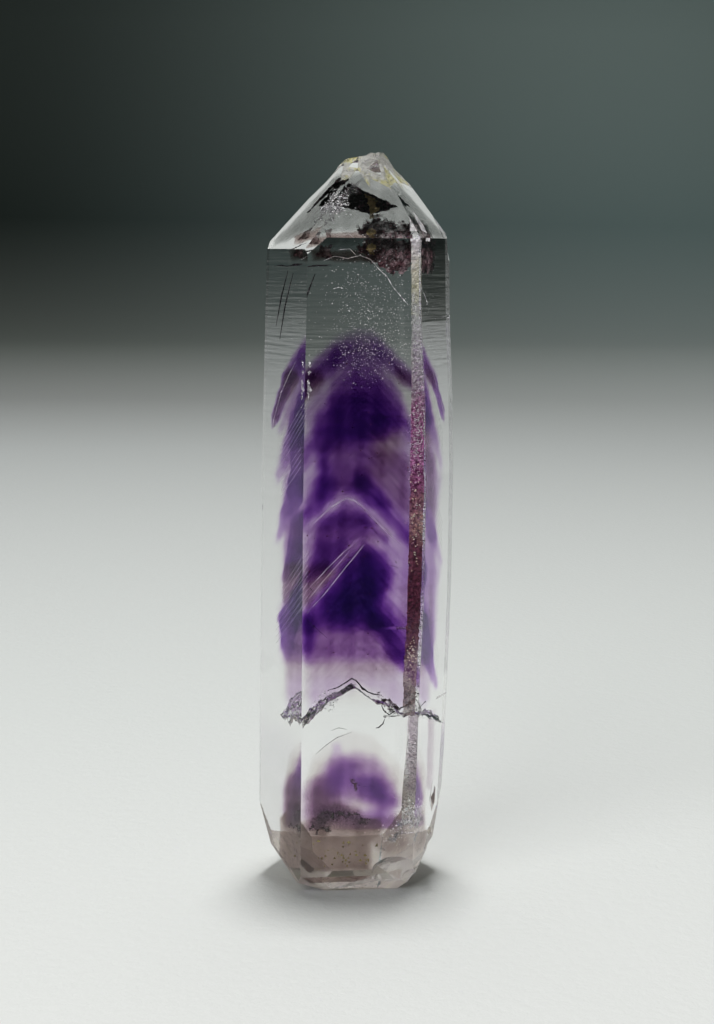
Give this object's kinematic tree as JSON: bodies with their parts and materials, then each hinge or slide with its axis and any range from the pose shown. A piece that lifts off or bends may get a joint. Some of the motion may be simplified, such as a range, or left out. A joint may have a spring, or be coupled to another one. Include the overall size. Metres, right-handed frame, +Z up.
{
  "type": "amethyst quartz crystal",
  "caption": "Clear six-sided quartz point with violet growth zones inside, a broken tip and a flat broken foot that it stands on.",
  "frame": {"origin": "middle of the bounding box at the height of the flat broken foot that the crystal stands on", "axes": "+Z up along the crystal's length, -Y out of its broad front face, +X to the right as seen from the front"},
  "size_m": [0.0186, 0.0124, 0.0702],
  "materials": {
    "clear_quartz": "clear, colourless to violet quartz with bright flat faces, faint cross striations and a frosted, chipped tip"
  },
  "bodies": {
    "root": {"amethyst_crystal": "clear_quartz"}
  },
  "joints": []
}
